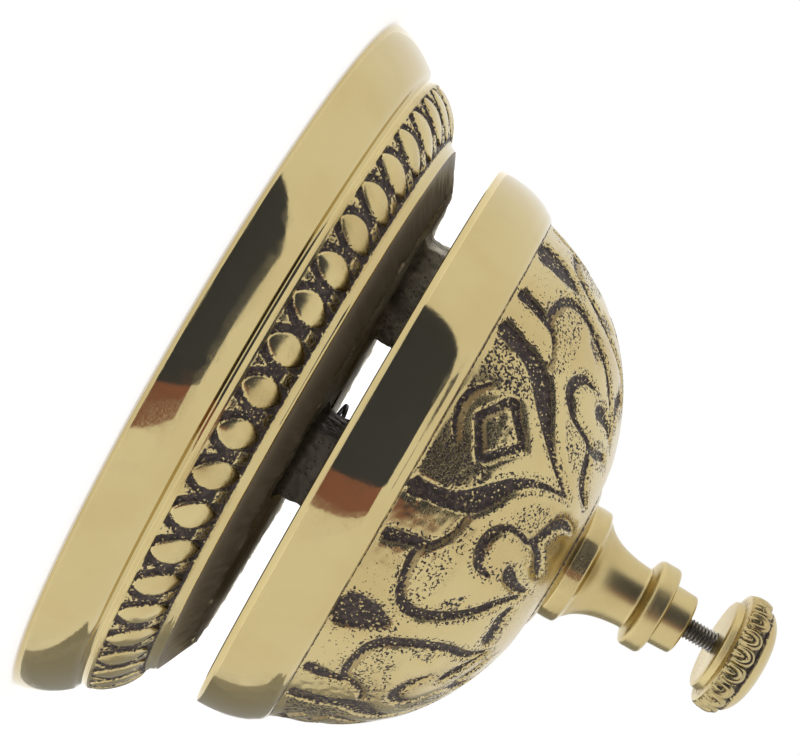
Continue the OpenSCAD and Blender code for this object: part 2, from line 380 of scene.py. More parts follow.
class Effects:
    """The surface effects that several finishes share, each a node group made once."""

    _made: dict[str, bpy.types.NodeTree] = {}

    @classmethod
    def _start(cls, name: str, inputs: Sequence[str], outputs: Sequence[str]) -> tuple[Graph, object, object]:
        """Makes an empty group with number sockets and gives its graph and ends."""
        tree = bpy.data.node_groups.new(name, "ShaderNodeTree")
        for label in inputs:
            tree.interface.new_socket(label, in_out="INPUT", socket_type="NodeSocketFloat")
        for label in outputs:
            tree.interface.new_socket(label, in_out="OUTPUT", socket_type="NodeSocketFloat")
        graph = Graph(tree)
        start = graph.node("NodeGroupInput")
        end = graph.node("NodeGroupOutput")
        cls._made[name] = tree
        return graph, start, end

    @classmethod
    def _finish(cls, graph: Graph, end: object, **results: object) -> None:
        """Joins the results to the group's outputs."""
        for label, socket in results.items():
            graph.tree.links.new(socket, end.inputs[label.capitalize()])

    @classmethod
    def place(cls, graph: Graph, name: str, **inputs: object) -> bpy.types.Node:
        """Puts an effect in a finish.

        Args:
            graph: The finish's graph.
            name: The effect's name.
            inputs: The effect's inputs, by name.

        Returns:
            The group node.
        """
        if name not in cls._made:
            getattr(cls, "_" + name)()
        node = graph.node("ShaderNodeGroup", node_tree=cls._made[name])
        for label, value in inputs.items():
            socket = node.inputs[label.capitalize()]
            if isinstance(value, Socket):
                graph.tree.links.new(value, socket)
            else:
                socket.default_value = value
        return node

    @classmethod
    def _turning(cls) -> None:
        """Fine rings left by the lathe and the polishing mop."""
        g, start, end = cls._start("turning", ["Spacing"], ["Height"])
        xyz = g.node("ShaderNodeSeparateXYZ", {0: g.here()})
        radius = g.sum("SQRT", g.plus(g.times(xyz.outputs[0], xyz.outputs[0]),
                                     g.times(xyz.outputs[1], xyz.outputs[1])))
        across = g.node("ShaderNodeCombineXYZ", {0: radius, 1: xyz.outputs[2],
                                                 2: g.times(xyz.outputs[0], 0.02)})
        scale = g.sum("DIVIDE", 1.0, start.outputs["Spacing"])
        rings = g.speckle(across.outputs[0], scale, 2.0)
        cls._finish(g, end, height=rings)

    @classmethod
    def _tarnish(cls) -> None:
        """Slow clouds of tarnish with finger-sized and grain-sized parts."""
        g, start, end = cls._start("tarnish", ["Size"], ["Cloud", "Grain"])
        scale = g.sum("DIVIDE", 1.0, start.outputs["Size"])
        cloud = g.between(g.speckle(g.here(), scale, 4.0), 0.35, 0.68)
        grain = g.speckle(g.here(), g.times(scale, 14.0), 2.0)
        cls._finish(g, end, cloud=cloud, grain=grain)

    @classmethod
    def _hairlines(cls) -> None:
        """Thin handling scratches in two directions."""
        g, start, end = cls._start("hairlines", ["Size"], ["Mask"])
        scale = g.sum("DIVIDE", 1.0, start.outputs["Size"])
        masks = []
        for turn, stretch in ((0.5, (1.0, 14.0, 3.0)), (1.9, (11.0, 1.0, 5.0))):
            path = g.node("ShaderNodeMapping", {0: g.here(), 2: (0.3, turn, turn), 3: stretch})
            lines = g.speckle(path.outputs[0], scale, 1.0)
            masks.append(g.between(g.sum("ABSOLUTE", g.minus(lines, 0.5)), 0.012, 0.002))
        worn = g.between(g.speckle(g.here(), 140.0, 2.0), 0.45, 0.6)
        cls._finish(g, end, mask=g.times(g.sum("MAXIMUM", *masks), worn))

    @classmethod
    def _stippling(cls) -> None:
        """Worm-like flecks of dark wax, thick where the stipple is strong."""
        g, start, end = cls._start("stippling", ["Amount", "Size"], ["Mask"])
        scale = g.sum("DIVIDE", 1.0, start.outputs["Size"])
        flecks = g.speckle(g.here(), scale, 1.5)
        drift = g.times(g.minus(g.speckle(g.here(), 420.0, 2.0), 0.5), 0.16)
        reach = g.plus(g.times(start.outputs["Amount"], 0.36), 0.14)
        depth = g.minus(g.plus(reach, drift), flecks)
        cls._finish(g, end, mask=g.between(depth, -0.025, 0.035))

    @classmethod
    def _wax(cls) -> None:
        """Dark wax and patina left in the low places of a relief."""
        g, start, end = cls._start("wax", ["Relief", "Level", "Edge"], ["Mask"])
        frayed = g.minus(g.speckle(g.here(), 2100.0, 3.0), 0.5)
        ragged = g.times(frayed, start.outputs["Edge"])
        drift = g.times(g.minus(g.speckle(g.here(), 330.0, 2.0), 0.5), 0.25)
        height = g.plus(start.outputs["Relief"], g.plus(ragged, drift))
        depth = g.minus(start.outputs["Level"], height)
        cls._finish(g, end, mask=g.between(depth, -0.1, 0.16))

    @classmethod
    def _sand(cls) -> None:
        """The pitted skin of a sand casting."""
        g, start, end = cls._start("sand", ["Size"], ["Height", "Pits"])
        scale = g.sum("DIVIDE", 1.0, start.outputs["Size"])
        lumps = g.speckle(g.here(), scale, 5.0)
        cells = g.node("ShaderNodeTexVoronoi", {"Vector": g.here(), "Scale": g.times(scale, 1.7)})
        pits = g.between(cells.outputs[0], 0.42, 0.12)
        spread = g.between(g.speckle(g.here(), g.times(scale, 0.35), 2.0), 0.46, 0.6)
        deep = g.times(pits, spread)
        cls._finish(g, end, height=g.minus(lumps, deep), pits=deep)


@dataclass(frozen=True)
class Metal:
    """A metal finish: clean colours, what darkens it and how its surface catches the light.

    Relief finishes read the numbers "relief" and "stipple" that are stored on the piece.
    """

    name: str
    bright: Colour
    warm: Colour
    dark: Colour = (0.040, 0.029, 0.025)
    shine: float = 0.16
    dull: float = 0.55
    relief: bool = False
    level: float = 0.55
    ragged: float = 0.5
    dots: float = 0.00042
    rings: float = 0.00016
    ring_depth: float = 0.25
    cloud_size: float = 0.010
    clouding: float = 0.35
    grime: float = 0.0
    sand: float = 0.0
    sand_size: float = 0.0009
    metallic: float = 1.0
    scratches: float = 1.0

    def make(self) -> bpy.types.Material:
        """Builds the finish.

        Returns:
            The material.
        """
        material, g = new_finish(self.name)
        tarnish = Effects.place(g, "tarnish", size=self.cloud_size)
        cloud = g.times(tarnish.outputs["Cloud"], self.clouding)
        clean = g.blend(cloud, self.bright, self.warm)
        lines = Effects.place(g, "hairlines", size=0.0011)
        masks = [g.times(g.between(tarnish.outputs["Grain"], 0.62, 0.74), self.grime)]
        height = g.times(tarnish.outputs["Grain"], 0.15)
        if self.relief:
            relief = g.attribute("relief")
            stipple = g.attribute("stipple")
            wax = Effects.place(g, "wax", relief=relief, level=self.level, edge=self.ragged)
            dots = Effects.place(g, "stippling", amount=stipple, size=self.dots)
            worn = g.between(g.speckle(g.here(), 2500.0, 2.0), 0.67, 0.6)
            masks += [g.times(wax.outputs[0], worn), dots.outputs[0]]
            height = g.minus(height, g.times(dots.outputs[0], 0.9))
        if self.sand:
            skin = Effects.place(g, "sand", size=self.sand_size)
            masks.append(g.times(skin.outputs["Pits"], 0.85))
            height = g.plus(height, g.times(skin.outputs["Height"], self.sand))
        if self.ring_depth:
            turned = Effects.place(g, "turning", spacing=self.rings)
            height = g.plus(height, g.times(turned.outputs[0], self.ring_depth))
        height = g.minus(height, g.times(lines.outputs[0], 0.3 * self.scratches))
        mask = masks[0]
        for other in masks[1:]:
            mask = g.sum("MAXIMUM", mask, other)
        mottle = g.between(g.speckle(g.here(), 1500.0, 3.0), 0.42, 0.68)
        dark = g.blend(mottle, self.dark, tuple(2.3 * part for part in self.dark))
        colour = g.blend(mask, clean, dark)
        rough = g.plus(g.times(cloud, min(0.16, 0.9 * self.shine)), self.shine)
        rough = g.plus(rough, g.times(lines.outputs[0], 0.12 * self.scratches))
        rough = g.sum("ADD", rough, g.times(mask, self.dull - self.shine), clamp=True)
        bump = g.node("ShaderNodeBump", {"Strength": 0.35, "Distance": 0.00006, "Height": height})
        shader = g.node("ShaderNodeBsdfPrincipled", {
            "Base Color": colour, "Roughness": rough, "Normal": bump.outputs[0],
            "Metallic": g.minus(self.metallic, g.times(mask, 0.55 * self.metallic))})
        g.node("ShaderNodeOutputMaterial", {0: shader.outputs[0]})
        return material


@dataclass(frozen=True)
class Fibre:
    """Pressed red-brown fibre for the washer under the crown."""

    name: str
    colour: Colour = (0.12, 0.045, 0.025)
    fleck: Colour = (0.26, 0.12, 0.07)

    def make(self) -> bpy.types.Material:
        """Builds the finish."""
        material, g = new_finish(self.name)
        matted = Effects.place(g, "tarnish", size=0.0016)
        grain = matted.outputs["Grain"]
        colour = g.blend(grain, self.colour, self.fleck)
        bump = g.node("ShaderNodeBump", {"Strength": 0.5, "Distance": 0.00005, "Height": grain})
        shader = g.node("ShaderNodeBsdfPrincipled", {
            "Base Color": colour, "Normal": bump.outputs[0],
            "Roughness": g.plus(g.times(matted.outputs["Cloud"], 0.2), 0.65)})
        g.node("ShaderNodeOutputMaterial", {0: shader.outputs[0]})
        return material


PALE_BRASS: Colour = (0.60, 0.49, 0.24)
WARM_BRASS: Colour = (0.50, 0.37, 0.155)
MIRRORED = Metal("mirror_polished_brass", PALE_BRASS, WARM_BRASS, relief=True, level=0.5, shine=0.055,
                 ring_depth=0.12, clouding=0.3, scratches=0.2)
POLISHED = Metal("leaf_band_brass", (0.62, 0.51, 0.25), WARM_BRASS, relief=True, level=0.5, shine=0.16,
                 clouding=0.7)
# Dark copy of the polished base brass for the turned ring above the bead: its dark colour is a painted
# reflection of the bell's dark underside, and its clouds are tarnish.
EDGE_PAINTED_DARK_REFLECTION = Metal("turned_edge_painted_dark_reflection", (0.25, 0.205, 0.135), (0.17, 0.14, 0.09), relief=True, level=0.42,
               shine=0.42, clouding=0.6, cloud_size=0.018, ring_depth=0.4, metallic=0.25)
SCROLLED = Metal("bell_brass_with_scrollwork", PALE_BRASS, WARM_BRASS, relief=True, level=0.5, shine=0.15,
                 clouding=0.5, dots=0.00036, ragged=0.95)
BEADED = Metal("knob_brass_with_beading", (0.47, 0.39, 0.20), WARM_BRASS, dark=(0.075, 0.060, 0.038),
               relief=True, level=0.38, shine=0.2, ragged=0.4, clouding=0.7)
TURNED = Metal("turned_finial_brass", PALE_BRASS, WARM_BRASS, relief=True, level=0.45, shine=0.11,
               ring_depth=0.3, clouding=0.45)
BRUSHED = Metal("brushed_finial_brass", PALE_BRASS, WARM_BRASS, relief=True, level=0.45, shine=0.27,
                ring_depth=0.7, clouding=0.5)
BELL_LINING = Metal("inside_of_the_bell", (0.42, 0.33, 0.16), (0.22, 0.15, 0.07), shine=0.38, clouding=0.9,
                    grime=0.5, sand=0.25)
# Pale copy of the cast brass, for the cast top of the base and the back leg: the pale colour is painted
# light, standing in for the light that reaches them under the bell.
SKIN_PAINTED_LIGHT = Metal("cast_skin", (0.80, 0.74, 0.58), (0.58, 0.52, 0.38), dark=(0.16, 0.13, 0.09), shine=0.36,
                  dull=0.6, clouding=0.7, cloud_size=0.006, grime=0.35, sand=1.0, ring_depth=0.0)
# Pale grey copy of the cast brass for the striker leg: the pale colour is painted light; its dark spots and
# pits are darker patches of the skin.
PITTED_PAINTED_LIGHT_SKIN = Metal("pitted_skin_painted_light", (0.74, 0.67, 0.50), (0.38, 0.34, 0.25), dark=(0.05, 0.045, 0.038),
                    shine=0.4, dull=0.75, clouding=1.0, cloud_size=0.0045, grime=1.0, sand=1.0,
                    sand_size=0.0006, ring_depth=0.0, metallic=0.35)
# Dark copy of the cast brass for the front leg: the dark colour is painted shade, standing in for its shaded
# side that faces the camera.
SKIN_PAINTED_SHADE = Metal("cast_skin_painted_shade", (0.13, 0.108, 0.075), (0.085, 0.068, 0.045), dark=(0.02, 0.017, 0.014),
                  shine=0.42, dull=0.75, clouding=0.9, cloud_size=0.006, grime=0.5, sand=0.5,
                  ring_depth=0.0, metallic=0.3)
BASE_LINING = Metal("hollow_of_the_base", (0.30, 0.25, 0.15), (0.15, 0.115, 0.07), shine=0.5, dull=0.85,
                    clouding=1.0, grime=0.7, sand=1.0, sand_size=0.0014, ring_depth=0.0)
FITTING = Metal("fitting_brass", (0.58, 0.45, 0.21), (0.34, 0.23, 0.09), shine=0.26, clouding=0.7, grime=0.4,
                ring_depth=0.5)
SHEET_BRASS = Metal("sheet_brass", (0.50, 0.39, 0.18), (0.30, 0.20, 0.09), shine=0.34, clouding=0.9,
                    grime=0.5, ring_depth=0.0)
BRONZE = Metal("bush_bronze", (0.46, 0.27, 0.13), (0.28, 0.14, 0.06), shine=0.3, clouding=0.6, grime=0.3)
ROD_THREAD = Metal("oiled_thread", (0.34, 0.33, 0.31), (0.17, 0.155, 0.135), dark=(0.025, 0.022, 0.019),
                   relief=True, level=0.4, shine=0.26, clouding=0.7, cloud_size=0.004, grime=0.5,
                   ring_depth=0.0)
SCREW_STEEL = Metal("blackened_screw_steel", (0.20, 0.19, 0.18), (0.10, 0.085, 0.075),
                    dark=(0.02, 0.018, 0.016), shine=0.33, clouding=0.8, grime=0.4)
BRIGHT_STEEL = Metal("bright_steel", (0.52, 0.52, 0.51), (0.36, 0.34, 0.31), dark=(0.09, 0.05, 0.03),
                     shine=0.24, clouding=0.6, grime=0.3)
SPRING_STEEL = Metal("drawn_spring_wire", (0.46, 0.46, 0.46), (0.30, 0.28, 0.26), dark=(0.07, 0.045, 0.03),
                     shine=0.26, clouding=0.5, cloud_size=0.003, grime=0.35, ring_depth=0.0)
WASHER_FIBRE = Fibre("pressed_fibre")


class FinishShop:
    """Makes each finish once and puts it on pieces."""

    def __init__(self) -> None:
        """Starts with no finish made."""
        self.made: dict[str, bpy.types.Material] = {}

    def get(self, finish: Metal | Fibre) -> bpy.types.Material:
        """Gives the material of a finish."""
        if finish.name not in self.made:
            self.made[finish.name] = finish.make()
        return self.made[finish.name]

    def dress(self, piece: Solid, *finishes: Metal | Fibre) -> None:
        """Gives a piece one or more finishes, the first on all its faces."""
        piece.data.materials.clear()
        for finish in finishes:
            piece.data.materials.append(self.get(finish))


def zone(piece: Solid, slots: np.ndarray) -> None:
    """Sets which finish each face takes, by the finish's number."""
    piece.data.polygons.foreach_set("material_index", slots.astype(np.int32))
    piece.data.update()


def face_centres(piece: Solid) -> tuple[np.ndarray, np.ndarray]:
    """Gives the centres in millimetres and the normals of a piece's faces."""
    count = len(piece.data.polygons)
    centre, out = np.zeros(count * 3), np.zeros(count * 3)
    piece.data.polygons.foreach_get("center", centre)
    piece.data.polygons.foreach_get("normal", out)
    return centre.reshape(-1, 3) / MM, out.reshape(-1, 3)


# ---------------------------------------------------------------------------------------------
# Relief
# ---------------------------------------------------------------------------------------------
def bearing(co: np.ndarray) -> np.ndarray:
    """Gives each place's angle round the axis in degrees, 0 at the front leg and positive to +X."""
    return np.degrees(np.arctan2(co[:, 0], -co[:, 1]))


def wrapped(angle: np.ndarray, period: float) -> np.ndarray:
    """Folds angles into one repeat, centred on 0."""
    return (angle + period / 2) % period - period / 2


def along(outline: Sequence[Point], co: np.ndarray) -> np.ndarray:
    """Measures how far along an outline each place lies.

    Args:
        outline: Rows of radius and height in millimetres.
        co: Places in millimetres.

    Returns:
        The distance from the outline's start, in millimetres.
    """
    line = np.array(outline, float)
    spot = np.column_stack([np.hypot(co[:, 0], co[:, 1]), co[:, 2]])
    lengths = np.concatenate([[0], np.cumsum(np.hypot(*np.diff(line, axis=0).T))])
    near = np.full(len(co), 1e9)
    result = np.zeros(len(co))
    for i, (a, b) in enumerate(zip(line[:-1], line[1:])):
        d = b - a
        t = np.clip(((spot - a) @ d) / max(d @ d, 1e-12), 0, 1)
        gap = np.hypot(*(spot - a - t[:, None] * d).T)
        closer = gap < near
        near[closer] = gap[closer]
        result[closer] = (lengths[i] + t * (lengths[i + 1] - lengths[i]))[closer]
    return result


def dense(outline: Sequence[Point], step: float) -> list[Point]:
    """Adds points to an outline, so that none are farther apart than the step."""
    rows = [tuple(outline[0])]
    for a, b in zip(outline[:-1], outline[1:]):
        count = max(1, math.ceil(math.dist(a, b) / step - 1e-6))
        rows += straight(a, b, count)[1:]
    return rows


@dataclass
class Piece:
    """One sub-assembly of the visual model.

    Each kind builds its own mesh, and this class gives it its finishes and puts it on its body.
    """

    shop: FinishShop
    body: Body = Body.FRAME

    def finish(self, piece: Solid, stands_for: Sequence[str] = (), slot: str = "",
               angle: float = 35.0) -> Solid:
        """Shades a piece, rides it on its body and hides the CAD nodes it stands for.

        Args:
            piece: The made piece.
            stands_for: The CAD nodes it takes the place of.
            slot: The record's material slot. It is not used.
            angle: Edges sharper than this stay crisp, in degrees.

        Returns:
            The same piece.
        """
        smooth(piece, angle)
        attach(piece, self.body.value)
        if stands_for:
            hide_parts(*stands_for)
        log.info("%s: %d faces", piece.name, len(piece.data.polygons))
        return piece


# ---------------------------------------------------------------------------------------------
# Base
# ---------------------------------------------------------------------------------------------
@dataclass
class Base(Piece):
    """The turned base: polished rim, leaf band, bright bead and rough cast top."""

    columns: int = 1000
    petals: int = 50
    petal_at: float = -11.7
    relief_depth: float = 0.5
    band: list[Point] = field(
        default_factory=lambda: bezier((45.9, 8.3), (44.6, 12.0), (40.4, 13.7), steps=40))

    def outline(self) -> list[Point]:
        """Gives the base's closed outline."""
        rim = bezier((49.97, 0.4), (49.5, 3.7), (46.8, 6.7), steps=11)
        top = [(40.0, 13.8), (39.7, 14.0), (39.55, 14.35), (39.3, 14.7), (38.4, 15.15), (37.2, 15.7),
               (36.2, 16.2), (35.2, 16.7), (34.4, 17.08), (34.1, 17.2)]
        inside = [(31.0, 17.2), (28.0, 17.2), (24.0, 17.2), (20.0, 17.2), (15.0, 17.2), (10.0, 17.2),
                  (4.6, 17.2), (4.6, 11.0), (3.01, 11.0), (3.01, 5.5), (8.0, 5.5), (8.0, 11.2), (12.0, 13.2),
                  (20.0, 12.8), (28.0, 12.4), (36.0, 12.0), (42.6, 7.5), (45.8, 1.0), (46.0, 0.0)]
        groove = [(46.3, 6.95), (45.95, 7.1), (45.76, 7.3), (45.7, 7.55), (45.76, 7.9), (45.84, 8.1)]
        foot = [(49.6, 0.0), (49.87, 0.07), (49.94, 0.2)]
        return foot + rim + groove + self.band + top + inside + foot[:1]

    def leaves(self, co: np.ndarray) -> tuple[np.ndarray, np.ndarray]:
        """Works out the leaf band.

        Args:
            co: Places on the base in millimetres.

        Returns:
            The height of the relief from 0 to 1, and which places are in the band.
        """
        radius = np.hypot(co[:, 0], co[:, 1])
        inside = (co[:, 2] > 8.2) & (co[:, 2] < 13.75) & (radius > 40.2)
        s = along(self.band, co)
        repeat = 360 / self.petals
        turn = bearing(co) - self.petal_at
        index = np.round(turn / repeat)
        u = wrapped(turn, repeat) * np.radians(radius)
        lean = 0.2 * np.sin(index * 2.4) + 0.12 * np.sin(index * 5.1)
        reach = 0.3 * np.sin(index * 3.7)
        t = np.clip((s - 0.3) / (7.2 + reach), 0, 1)
        width = 2.08 * np.sin(np.pi * t ** 0.84) ** 0.72
        petal = width - np.abs(u - lean * (t - 0.4))
        petal = np.where((s > 0.28) & (s < 7.7), petal, -1.0)
        dart_u = wrapped(turn + repeat / 2, repeat) * np.radians(radius)
        dart = np.where(s > 0.3, 1.15 * (1 - (s - 0.3) / (2.4 + reach)) - np.abs(dart_u), -1.0)
        punched = np.minimum(1.1 - np.abs(dart_u), np.minimum(s - 4.8, 7.75 - s))
        line = 0.26 - np.abs(s - 0.14)
        height = np.maximum.reduce([
            ramp(petal, -0.12, 0.4) * (0.8 + 0.2 * ramp(petal, 0.2, 1.9)), 0.7 * ramp(dart, -0.1, 0.4),
            0.62 * ramp(punched, -0.1, 0.4), 0.85 * ramp(line, -0.1, 0.12), ramp(s, 7.9, 8.2)])
        return np.where(inside, height, 1.0), inside

    def build(self) -> Solid:
        """Builds the base.

        Returns:
            The piece, which stands for base_casting together with the legs.
        """
        piece = lathe("base", self.outline(), self.columns)
        co, out = places(piece), normals(piece)
        radius = np.hypot(co[:, 0], co[:, 1])
        relief, inside = self.leaves(co)
        sunk = self.relief_depth * (1 - relief)
        cast_top = (co[:, 2] > 17.1) & (radius < 34.3) & (radius > 4.7)
        grain = np.array([noise.fractal(Vector(p) / 2.3, 0.8, 2.0, 4) for p in co[cast_top]])
        sunk[cast_top] += 0.3 * np.clip(0.5 + 0.6 * grain, 0, 1.4)
        burr = (co[:, 2] > 14.6) & (radius > 34.0) & (radius < 39.5) & ~cast_top
        ragged = np.array([noise.fractal(Vector((p[0], p[1], 0)) / 1.7, 0.8, 2.0, 3) for p in co[burr]])
        sunk[burr] += 0.28 * np.clip(0.5 + ragged, 0, 1.2) * ramp(co[burr][:, 2], 14.7, 16.4)
        place(piece, co - out * sunk[:, None])
        edge = ramp(co[:, 2], 16.5, 17.1) * (radius > 33.9)
        mark(piece, "relief", np.where(inside, relief, 1 - 0.4 * edge))
        mark(piece, "stipple", np.where(inside, 0.25 + 0.65 * (relief < 0.72), 0.5 * edge))
        self.shop.dress(piece, MIRRORED, SKIN_PAINTED_LIGHT, BASE_LINING, POLISHED, EDGE_PAINTED_DARK_REFLECTION)
        centre, facing = face_centres(piece)
        face_radius = np.hypot(centre[:, 0], centre[:, 1])
        # The cast top inside the ring takes the pale skin, whose colour is painted light.
        slots = np.where((centre[:, 2] > 16.4) & (face_radius < 34.6), 1, 0)
        slots = np.where((face_radius < 46.05) & (facing[:, 2] < 0.2) & (centre[:, 2] < 13.3), 2, slots)
        outward = facing[:, 0] * centre[:, 0] + facing[:, 1] * centre[:, 1] > 0
        slots = np.where(outward & (face_radius > 39), 0, slots)
        banded = outward & (face_radius < 46) & (centre[:, 2] > 7.95) & (centre[:, 2] < 13.8)
        slots = np.where(banded, 3, slots)
        # Faces above the bead take the dark finish, a painted reflection of the bell's dark underside.
        slots = np.where((slots == 0) & (centre[:, 2] > 14.75), 4, slots)
        zone(piece, slots)
        return self.finish(piece, ["base_casting"], "cast_brass")


@dataclass
class CastLegs(Piece):
    """The three legs that stand on the base, as they came out of the sand."""

    middle: float = 20.6
    length: float = 14.4
    width: float = 9.6
    carrying_top: float = 33.0
    striker_top: float = 32.1

    def leg(self, name: str, degrees: float, top: float) -> Solid:
        """Makes one leg.

        Args:
            name: The piece's name.
            degrees: The leg's side, measured from +X.
            top: The height of its top in millimetres.

        Returns:
            The leg, in its place and cut for what it carries.
        """
        inner, outer = self.middle - self.length / 2, self.middle + self.length / 2
        piece = block(name, (inner, -self.width / 2, 16.2), (outer, self.width / 2, top))
        if degrees == 180:
            slot = block(name + "_slot", (inner - 1, -1.6, 22.5), (outer + 1, 1.6, top + 2))
            modify(piece, "BOOLEAN", operation="DIFFERENCE", object=slot, solver="EXACT")
            bpy.data.objects.remove(slot)
        modify(piece, "BEVEL", width=0.3 * MM, segments=2, limit_method="ANGLE")
        modify(piece, "REMESH", mode="VOXEL", voxel_size=0.24 * MM)
        cos, sin = math.cos(math.radians(degrees)), math.sin(math.radians(degrees))
        place(piece, places(piece) @ np.array([[cos, sin, 0], [-sin, cos, 0], [0, 0, 1]]))
        return piece

    def flare(self, piece: Solid, degrees: float) -> None:
        """Spreads the foot of a leg where it runs into the base."""
        co = places(piece)
        side = np.array([math.cos(math.radians(degrees)), math.sin(math.radians(degrees))])
        cross = np.array([-side[1], side[0]])
        forward = co[:, :2] @ side - self.middle
        sideways = co[:, :2] @ cross
        spread = 1.4 * np.clip((18.2 - co[:, 2]) / 1.6, 0, 1) ** 1.6
        move_f = spread * np.clip(forward / (self.length / 2), -1, 1)
        move_s = spread * np.clip(sideways / (self.width / 2), -1, 1)
        co[:, :2] += move_f[:, None] * side + move_s[:, None] * cross
        place(piece, co)

    def build(self) -> list[Solid]:
        """Builds the three legs.

        Returns:
            The pieces.
        """
        made = []
        # The front leg's dark skin is painted shade; the back and striker legs' pale skins are painted light.
        for name, degrees, top, depth, pits, skin in (
                ("front_leg", -90, self.carrying_top, 0.3, 0.2, SKIN_PAINTED_SHADE),
                ("back_leg", 63, self.carrying_top, 0.35, 0.4, SKIN_PAINTED_LIGHT),
                ("striker_leg", 180, self.striker_top, 0.35, 0.9, PITTED_PAINTED_LIGHT_SKIN)):
            piece = self.leg(name, degrees, top)
            self.flare(piece, degrees)
            roughen(piece, depth, 1.3, pits)
            self.shop.dress(piece, skin)
            made.append(self.finish(piece, slot="cast_brass", angle=60))
        return made


# ---------------------------------------------------------------------------------------------
# Bell
# ---------------------------------------------------------------------------------------------
# Half of one repeat of the scrollwork, which mirrors about both its edges. Rows are the angle from
# the motif's axis in degrees, the height in millimetres and the width of the cut in millimetres.
CHANNELS = (
    # Between the two middle arms and the scrolls, opening into a pool beside the leaf
    [(0.2, 48.6, 0.3), (0.9, 47.6, 0.5), (2.5, 45.6, 0.7), (4.4, 43.8, 0.9), (6.8, 42.2, 1.3),
     (9.4, 41.0, 1.9), (12.4, 39.8, 2.6), (15.2, 38.4, 2.9), (16.8, 36.4, 2.5), (17.2, 34, 2.2),
     (17.4, 31.0, 2.6)],
    # Round the lozenge
    [(0, 40.5, 1.0), (3.2, 38.9, 1.1), (6.6, 37.0, 1.4), (3.4, 35.6, 1.2), (0, 34.3, 1.3)],
    # Under and round the eye of the scroll, then on to the crown
    [(28, 44.8, 0.6), (26.6, 43.5, 1.1), (23.8, 42.6, 1.3), (20.5, 42.3, 1.3), (17.6, 42.9, 1.2),
     (15.7, 44.3, 0.9), (15.9, 46, 0.7), (16.7, 47.2, 0.8), (15.4, 48.1, 1.0), (12.5, 48.7, 1.1),
     (9.2, 49.3, 1.2), (6.8, 50.2, 1.2), (6.0, 51.4, 0.7)],
    # Above the eye
    [(31.4, 49.8, 0.7), (29.8, 48.4, 1.2), (28.0, 47.5, 1.5), (26.2, 47.0, 1.2), (24.6, 46.7, 0.5)],
    [(25, 50.4, 0.5), (22, 49.8, 0.8), (19, 49.2, 0.8), (17, 48.3, 0.8)],
    # Beside the upright band and back under the lobe
    [(33.6, 49.5, 0.7), (35.7, 47.4, 1.0), (38.5, 45.4, 1.1), (40.2, 43, 1.3), (40.9, 40, 1.5),
     (40.1, 37.8, 1.5), (37.6, 36.4, 1.3), (33.6, 35.7, 1.1), (30, 35.4, 1.1), (27.4, 35.9, 0.9),
     (25.4, 37.3, 0.6),
     (22, 38.4, 0.4), (19, 38.7, 0.6)],
    [(45, 49.1, 1.0), (41, 49.0, 1.0), (38, 49.4, 0.7)],
    # Beside the leaf and under the upright band
    [(26.8, 36.4, 0.9), (27.2, 34.4, 1.4), (27.6, 31.2, 1.9)],
    [(45, 37.4, 0.5), (45, 35.6, 2.4), (45, 33.5, 4.0), (45, 31.2, 5.2)],
    # Under the lozenge
    [(0, 31.4, 1.3), (3, 32.0, 0.9), (6.4, 33.4, 0.5)],
)
# Patches of punched ground: how thickly they are punched, how high they stand and their corners.
PATCHES = (
    (0.85, 0.78, [(5.4, 47.4), (8, 44.8), (12, 43.4), (15.2, 43.4), (14.6, 45.5),
                  (15.4, 47), (12, 47.9), (8, 48.4)]),
    (0.80, 0.85, [(19, 40.4), (26, 40.9), (33, 40.5), (38.2, 39.3), (38.8, 37.7),
                  (34, 36.6), (28, 36.4), (20, 39)]),
    (1.00, 0.75, [(4.4, 33.0), (8, 36.2), (9.2, 38.6), (12, 38.2), (14.8, 36.3),
                  (15, 30.8), (0, 30.8), (0, 32.4)]),
    (0.85, 0.85, [(0, 39.4), (4.7, 37), (0, 35.3)]),
    (1.00, 0.62, [(33.5, 44.0), (38.2, 43.8), (39.4, 41.2), (36, 41.3)]),
    (0.50, 0.95, [(28.8, 35), (38, 35.6), (41.5, 34), (40, 31), (28.8, 31)]),
    (0.45, 0.95, [(19.2, 37), (22, 38.2), (25, 37), (26, 31), (19.2, 31)]),
    (0.70, 0.62, [(41, 36), (45, 37.4), (45, 31), (41, 31)]),
    (0.55, 0.92, [(17.6, 48.6), (22.5, 49.4), (24, 48), (19, 47)]),
    (0.75, 0.80, [(37.5, 50), (45, 49.8), (45, 48.5), (39, 48.4)]),
)


